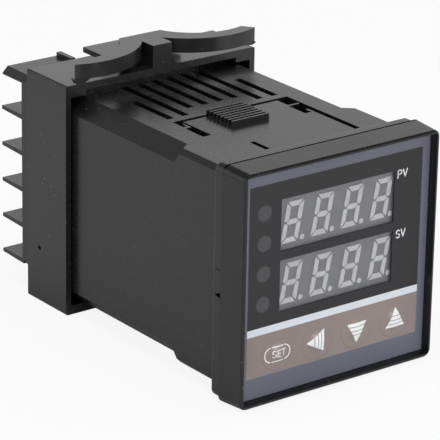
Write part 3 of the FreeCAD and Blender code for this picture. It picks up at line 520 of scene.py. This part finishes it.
def lay_mark(name, body, finish_name, flat):
    """Turns flat (x, z) polygons into a thin printed mark that follows the surface."""
    mesh = bmesh.new()
    for outline in flat:
        corners = [mesh.verts.new((x, 0.0, z)) for x, z in outline]
        mesh.faces.new(corners)
    bmesh.ops.triangulate(mesh, faces=mesh.faces[:])
    for _ in range(4):
        long_edges = [edge for edge in mesh.edges if edge.calc_length() > FINEST_EDGE]
        if not long_edges:
            break
        bmesh.ops.subdivide_edges(mesh, edges=long_edges, cuts=1)
        bmesh.ops.triangulate(mesh, faces=mesh.faces[:])
    for vert in mesh.verts:
        vert.co = place(vert.co.x, surface_depth(vert.co.x, vert.co.z), vert.co.z)
    for face in mesh.faces:
        face.normal_update()
        if face.normal.y > 0:
            face.normal_flip()
    return finished_piece(name, mesh, body, finish_name)


def disc(x, z, radius, sides=40):
    """A round patch of ink as one outline."""
    return [(x + radius * math.cos(math.tau * i / sides), z + radius * math.sin(math.tau * i / sides))
            for i in range(sides)]


def bar(start, end, width):
    """A straight stroke of ink as four corners."""
    (x0, z0), (x1, z1) = start, end
    length = math.hypot(x1 - x0, z1 - z0)
    run, rise = (x1 - x0) / length * width / 2, (z1 - z0) / length * width / 2
    return [(x0 - run - rise, z0 - rise + run), (x1 + run - rise, z1 + rise + run),
            (x1 + run + rise, z1 + rise - run), (x0 - run + rise, z0 - rise - run)]


def arc_band(centre, radius, width, start, end, steps=14):
    """Quads along an arc, from start to end in degrees."""
    quads = []
    for i in range(steps):
        a0 = math.radians(start + (end - start) * i / steps)
        a1 = math.radians(start + (end - start) * (i + 1) / steps)
        ring = []
        for angle, reach in ((a0, radius - width / 2), (a1, radius - width / 2),
                             (a1, radius + width / 2), (a0, radius + width / 2)):
            ring.append((centre[0] + reach * math.cos(angle), centre[1] + reach * math.sin(angle)))
        quads.append(ring)
    return quads


def striped_triangle(centre, size, turn, gap=0.16, cuts=(0.42, 0.62, 0.82)):
    """A pointing triangle cut by three thin lines; turn is where it points, in degrees."""
    length, half = size
    marks = [0.0] + list(cuts) + [1.0]
    parts = []
    for start, end in zip(marks, marks[1:]):
        near = start * length + (gap / 2 if start > 0 else 0)
        far = end * length - (gap / 2 if end < 1 else 0)
        shape = [(near, half * near / length), (far, half * far / length),
                 (far, -half * far / length), (near, -half * near / length)]
        if near == 0:
            shape = [(0.0, 0.0)] + shape[1:3]
        parts.append(shape)
    angle = math.radians(turn)
    turned = []
    for shape in parts:
        ring = []
        for along, across in shape:
            back = length * 0.5 - along
            x = centre[0] + back * math.cos(angle) - across * math.sin(angle)
            z = centre[1] + back * math.sin(angle) + across * math.cos(angle)
            ring.append((x, z))
        turned.append(ring)
    return turned


def lettering(text, left, low, height, width_scale=1.0, stroke=0.2):
    """Single-stroke capitals drawn as ink bars and arcs, in a cell 0..0.7 wide and 0..1 high."""
    strokes = {
        "P": [((0, 0), (0, 1)), ((0, 1), (0.35, 1)), ((0, 0.48), (0.35, 0.48)),
              ("arc", (0.35, 0.74), 0.26, -90, 90)],
        "V": [((0, 1), (0.32, 0)), ((0.32, 0), (0.64, 1))],
        "S": [("arc", (0.3, 0.745), 0.255, 20, 250), ("arc", (0.3, 0.255), 0.255, -160, 70)],
        "E": [((0, 0), (0, 1)), ((0, 1), (0.5, 1)), ((0, 0.52), (0.44, 0.52)), ((0, 0), (0.5, 0))],
        "T": [((0.0, 1), (0.6, 1)), ((0.3, 0), (0.3, 1))],
    }
    widths = {"P": 0.86, "V": 0.88, "S": 0.82, "E": 0.74, "T": 0.8}
    shapes, pen = [], 0.0
    for letter in text:
        for part in strokes[letter]:
            if part[0] == "arc":
                _, middle, radius, start, end = part
                for quad in arc_band(middle, radius, stroke / height, start, end):
                    shapes.append([(pen + x, z) for x, z in quad])
            else:
                (x0, z0), (x1, z1) = part
                shapes.append(bar((pen + x0, z0), (pen + x1, z1), stroke / height))
        pen += widths[letter]
    return [[(left + x * height * width_scale, low + z * height) for x, z in shape] for shape in shapes]


for key, column in KEY_COLUMNS.items():
    key_dome(key, column)
for name, word, left, low in (("upper_row_name", "PV", 14.85, 39.25), ("lower_row_name", "SV", 14.95, 26.7)):
    lay_mark(name, "front_unit", "ink", lettering(word, left, low, ROW_NAME_HEIGHT, 1.0, ROW_NAME_STROKE))
discs = [disc(LAMP_COLUMN, LAMP_TOP - LAMP_PITCH * i, LAMP_RADIUS) for i in range(4)]
lay_mark("lamp_discs", "front_unit", "disc_ink", discs)

pill = []
pill_half, pill_radius, pill_line, pill_gap = 1.55, 1.52, 0.22, 6
pill_level = KEY_HEIGHT - 0.1
for side in (-1, 1):
    middle = (KEY_COLUMNS["set"] + side * pill_half, pill_level)
    start = 90 if side < 0 else -90
    pill += arc_band(middle, pill_radius, pill_line, start + pill_gap, start + 180 - pill_gap, 20)
for level in (-1, 1):
    height = pill_level + level * pill_radius
    for left, right in ((-1.3, -0.55), (-0.3, 0.3), (0.55, 1.3)):
        start, end = (KEY_COLUMNS["set"] + left, height), (KEY_COLUMNS["set"] + right, height)
        pill.append(bar(start, end, pill_line))
lay_mark("set_outline", "set_button", "ink", pill)
set_word = lettering("SET", KEY_COLUMNS["set"] - 1.35, KEY_HEIGHT - 0.72, 1.35, 1.1, 0.19)
lay_mark("set_word", "set_button", "ink", set_word)
lay_mark("shift_arrow", "shift_button", "ink",
         striped_triangle((KEY_COLUMNS["shift"] - 0.45, KEY_HEIGHT + 0.05), (4.3, 2.35), 180))
lay_mark("down_arrow", "down_button", "ink",
         striped_triangle((KEY_COLUMNS["down"] + 0.15, KEY_HEIGHT - 0.5), (4.2, 2.4), -90))
lay_mark("up_arrow", "up_button", "ink",
         striped_triangle((KEY_COLUMNS["up"] + 0.2, KEY_HEIGHT + 0.5), (4.2, 2.4), 90))


# ---------------------------------------------------- small parts on the boards

POWER_FACE, LOGIC_FACE, BOARD = -16.8, 16.8, 1.6
FRONT_BOARD_REAR = 10.8
CAPACITOR_CENTRES = ((20.0, 16.0), (20.0, 31.0), (33.0, 34.5), (44.0, 34.5))
WINDING_COLUMNS, WINDING_LEVELS = (31.6, 45.4), (9.5, 26.5)
RELAY_PINS = ((51.0, 11.5), (51.0, 24.0), (56.5, 17.7), (61.0, 11.5), (61.0, 24.0))
DISPLAY_PIN_LEVELS, DISPLAY_PINS = (18.2, 27.6, 31.2, 39.6), (-13.5, 14.0)
DIODE_COLUMNS, DIODE_LEADS, LEAD = (50.0, 53.6, 57.2), (29.8, 37.4), 0.32
LEAD_STEP, LEAD_DROP, CHIP_OVERHANG = 1.9, 1.6, 0.75
RESISTOR_RANKS, RESISTOR_START, RESISTOR_PITCH = (25.6, 35.4, 38.6), 15.0, 3.3
CHIPS = (((18.0, 36.0), (12.0, 22.0), 7), ((42.0, 52.0), (12.0, 18.5), 4),
         ((42.0, 48.5), (26.0, 32.5), 3), ((56.0, 62.5), (26.0, 32.5), 3))


def solder_joint(mesh, face, side, spot, axis="x", size=0.75):
    """A tinned cone round a clipped pin, standing on a board's face."""
    profile = [(size, face), (size * 0.75, face + side * 0.14), (size * 0.4, face + side * 0.42),
               (size * 0.32, face + side * 0.62), (0.0, face + side * 0.68)]
    lathe(mesh, profile, spot, axis, 10)


def pin_row(low, high, count):
    """Evenly spaced pins, set in from both ends of a package."""
    pitch = (high - low) / count
    return [low + pitch * (i + 0.5) for i in range(count)]


def power_board_solder():
    """Joints of the capacitors, transformer and relay on the board's outer face."""
    mesh = bmesh.new()
    outer = POWER_FACE - BOARD
    for column, level in CAPACITOR_CENTRES:
        for step in (-1.6, 1.6):
            solder_joint(mesh, outer, -1, (column, level + step))
    for column in WINDING_COLUMNS:
        for level in pin_row(*WINDING_LEVELS, 4):
            solder_joint(mesh, outer, -1, (column, level), size=0.85)
    for column, level in RELAY_PINS:
        solder_joint(mesh, outer, -1, (column, level), size=1.0)
    for column in DIODE_COLUMNS:
        for level in DIODE_LEADS:
            solder_joint(mesh, outer, -1, (column, level), size=0.65)
    finished_piece("power_board_solder", mesh, "front_unit", "solder")


def logic_board_solder():
    """Rows of chip pins on the other board's outer face."""
    mesh = bmesh.new()
    for (start, end), (low, high), count in CHIPS:
        for column in pin_row(start, end, count):
            for level in (low - 0.55, high + 0.55):
                solder_joint(mesh, LOGIC_FACE + BOARD, 1, (column, level), size=0.55)
    finished_piece("logic_board_solder", mesh, "front_unit", "solder")


def front_board_solder():
    """Pins of both displays behind the front board."""
    mesh = bmesh.new()
    for level in DISPLAY_PIN_LEVELS:
        for column in pin_row(*DISPLAY_PINS, 10):
            solder_joint(mesh, FRONT_BOARD_REAR, 1, (column, level), "y", 0.6)
    finished_piece("front_board_solder", mesh, "front_unit", "solder")


def chip_leads():
    """Legs that step out of each chip's long sides and go down through the board."""
    mesh = bmesh.new()
    for (start, end), (low, high), count in CHIPS:
        for column in pin_row(start, end, count):
            for near, far in ((low - CHIP_OVERHANG, low - 0.35), (high + 0.35, high + CHIP_OVERHANG)):
                eased_block(mesh, (LOGIC_FACE - LEAD_STEP, column - 0.25, near),
                            (LOGIC_FACE, column + 0.25, far), 0.05)
            for near, far in ((low - CHIP_OVERHANG, low), (high, high + CHIP_OVERHANG)):
                eased_block(mesh, (LOGIC_FACE - LEAD_STEP, column - 0.4, near),
                            (LOGIC_FACE - LEAD_DROP, column + 0.4, far), 0.05)
    finished_piece("chip_leads", mesh, "front_unit", "solder")


def surface_resistors():
    """Three ranks of small chip resistors, with tinned ends, on the logic board."""
    bodies, ends = bmesh.new(), bmesh.new()
    for rank, level in enumerate(RESISTOR_RANKS):
        for i in range(8):
            column = RESISTOR_START + RESISTOR_PITCH * i + 0.7 * rank + random.uniform(-0.15, 0.15)
            eased_block(bodies, (LOGIC_FACE - 0.55, column - 0.5, level - 0.42),
                        (LOGIC_FACE, column + 0.5, level + 0.42), 0.06)
            for near, far in ((column - 0.85, column - 0.5), (column + 0.5, column + 0.85)):
                eased_block(ends, (LOGIC_FACE - 0.6, near, level - 0.45),
                            (LOGIC_FACE, far, level + 0.45), 0.06)
    finished_piece("resistor_bodies", bodies, "front_unit", "chips")
    finished_piece("resistor_ends", ends, "front_unit", "solder")


def rectifier_diodes():
    """Three leaded diodes that stand off the power board."""
    bodies, leads = bmesh.new(), bmesh.new()
    line = POWER_FACE + 2.0
    for column in DIODE_COLUMNS:
        body = [(0.0, 31.2), (1.1, 31.2), (1.3, 31.5), (1.3, 35.7), (1.1, 36.0), (0.0, 36.0)]
        lathe(bodies, body, (line, column), "z", 24)
        lathe(leads, [(0.0, 29.5), (LEAD, 29.5), (LEAD, 37.7), (0.0, 37.7)], (line, column), "z", 10)
        for level in DIODE_LEADS:
            post = [(0.0, POWER_FACE), (LEAD, POWER_FACE), (LEAD, line + 0.3), (0.0, line + 0.3)]
            lathe(leads, post, (column, level), "x", 10)
        lathe(leads, [(1.3, 34.6), (1.34, 34.65), (1.34, 35.35), (1.3, 35.4)], (line, column), "z", 24)
    finished_piece("diode_bodies", bodies, "front_unit", "chips")
    finished_piece("diode_leads", leads, "front_unit", "solder")


power_board_solder()
logic_board_solder()
front_board_solder()
chip_leads()
surface_resistors()
rectifier_diodes()


# ------------------------------------------------------- painted shadow in the hook gaps

def side_mark(name, body, finish_name, plane, outlines):
    """Flat (y, z) outlines laid on a side wall, a hair proud of it."""
    mesh = bmesh.new()
    for outline in outlines:
        mesh.faces.new([mesh.verts.new(place(plane, y, z)) for y, z in outline])
    return finished_piece(name, mesh, body, finish_name)


FLANGE_SIDE = 23.965
# These outlines are a painted shadow: a black triangle and hairlines where the gaps round the latch hooks
# lie in shade.
HOOK_GAP_SHADOW = (((8.9, 21.5), (6.62, 21.0), (6.62, 22.6)),
            ((6.62, 26.8), (8.7, 26.8), (8.7, 26.95), (6.62, 26.95)),
            ((6.62, 25.6), (6.78, 25.6), (6.78, 26.8), (6.62, 26.8)))

for side, name in ((-1, "left"), (1, "right")):
    side_mark("hook_gap_" + name, "housing", "gap", side * FLANGE_SIDE, HOOK_GAP_SHADOW)


# ------------------------------------------------------------------ floor and light

HORIZON_BAND, DARK_FROM, OVERHEAD_SKY = 0.36, 0.62, 0.2
SHADOW_KEPT = 0.11
FLOOR_REACH, FLOOR_BELOW = 3.0, 0.0001


def studio_floor(name, tone):
    """A pale floor: to the eye mostly the white backdrop, with a light share of the shadow."""
    finish = Finish(name)
    cloud = finish.noise(3.0, 3)
    base = finish.mix(cloud, shade(tone, 0.985), tone)
    plain = finish.principled(Base_Color=base, Roughness=0.9, Specular_IOR_Level=0.1)
    backdrop = finish.node("ShaderNodeEmission", {}, {"Color": (1, 1, 1, 1), "Strength": 1.0})
    seen = finish.node("ShaderNodeLightPath", {}, {}, "Is Camera Ray")
    shares = {0: seen * (1 - SHADOW_KEPT), 1: plain, 2: backdrop}
    return finish.done(finish.node("ShaderNodeMixShader", {}, shares))


floor_mesh = bpy.data.meshes.new("floor")
floor_corners = [(x * FLOOR_REACH, y * FLOOR_REACH, 0) for x, y in ((-1, -1), (1, -1), (1, 1), (-1, 1))]
floor_mesh.from_pydata(floor_corners, [], [(0, 1, 2, 3)])
floor = bpy.data.objects.new("floor", floor_mesh)
bpy.context.collection.objects.link(floor)
floor_mesh.materials.append(studio_floor("floor_white", (0.96, 0.96, 0.96, 1)))
floor.location.z = cad_box[0][2] - FLOOR_BELOW

world = bpy.data.worlds.new("studio")
bpy.context.scene.world = world
world.use_nodes = True
tree = world.node_tree
tree.nodes.clear()


def sky_node(kind, settings, inputs):
    """Adds a node to the sky, sets it up and feeds its sockets."""
    made = tree.nodes.new(kind)
    for name, value in settings.items():
        setattr(made, name, value)
    for name, value in inputs.items():
        if isinstance(value, bpy.types.NodeSocket):
            tree.links.new(value, made.inputs[name])
        else:
            made.inputs[name].default_value = value
    return made


paths = sky_node("ShaderNodeLightPath", {}, {})
heading = sky_node("ShaderNodeTexCoord", {}, {})
split = sky_node("ShaderNodeSeparateXYZ", {}, {"Vector": heading.outputs["Generated"]})
dimming = sky_node("ShaderNodeMapRange", {"interpolation_type": "SMOOTHSTEP"},
                   {"Value": split.outputs["Z"], "From Min": HORIZON_BAND, "From Max": DARK_FROM,
                    "To Min": 1.0, "To Max": OVERHEAD_SKY})
studio = sky_node("ShaderNodeBackground", {}, {"Color": (1, 1, 1, 1), "Strength": dimming.outputs["Result"]})
white = sky_node("ShaderNodeBackground", {}, {"Color": (1, 1, 1, 1), "Strength": 1.0})
choice = sky_node("ShaderNodeMixShader", {},
                  {0: paths.outputs["Is Camera Ray"], 1: studio.outputs[0], 2: white.outputs[0]})
sky_node("ShaderNodeOutputWorld", {}, {"Surface": choice.outputs[0]})


def soft_lamp(name, place_at, aim, size, watts):
    """A large square lamp that points at a spot."""
    data = bpy.data.lights.new(name, "AREA")
    data.shape, data.size, data.energy = "SQUARE", size, watts
    lamp = bpy.data.objects.new(name, data)
    bpy.context.collection.objects.link(lamp)
    lamp.location = Vector(place_at)
    lamp.rotation_euler = (Vector(aim) - lamp.location).to_track_quat("-Z", "Y").to_euler()


middle = (0, 0, (cad_box[0][2] + cad_box[1][2]) / 2)
soft_lamp("overhead", (-0.05, -0.10, 0.80), middle, 0.5, 2.6)
soft_lamp("front", (0.45, -0.80, 0.30), middle, 0.5, 0.6)
soft_lamp("low_front", (0.27, -0.86, 0.06), middle, 0.11, 2.2)


# ------------------------------------------------------------------------ camera

AIM = (0, 40, 24)
STAND_OFF, SIDEWAYS, DOWNWARDS = 608.263, 2.427, 1.723

azimuth, elevation, roll = math.radians(-37.625), math.radians(20.812), math.radians(1.122)
backward = Vector((math.sin(azimuth) * math.cos(elevation), -math.cos(azimuth) * math.cos(elevation),
                   math.sin(elevation)))
level_right = Vector((math.cos(azimuth), math.sin(azimuth), 0))
level_up = backward.cross(level_right)
right = math.cos(roll) * level_right + math.sin(roll) * level_up
up = -math.sin(roll) * level_right + math.cos(roll) * level_up
stand = place(*AIM) + (backward * STAND_OFF + right * SIDEWAYS - up * DOWNWARDS) * MM
camera_data = bpy.data.cameras.new("camera")
camera_data.sensor_width = 36
camera_data.lens = 245.253
camera_data.shift_x = -0.019861
camera_data.shift_y = -0.005159
camera_data.clip_start = 0.05
camera = bpy.data.objects.new("camera", camera_data)
bpy.context.collection.objects.link(camera)
camera.matrix_world = Matrix.Translation(stand) @ Matrix((right, up, backward)).transposed().to_4x4()
bpy.context.scene.camera = camera
bpy.context.scene.view_settings.view_transform = "Standard"

bpy.context.view_layer.update()
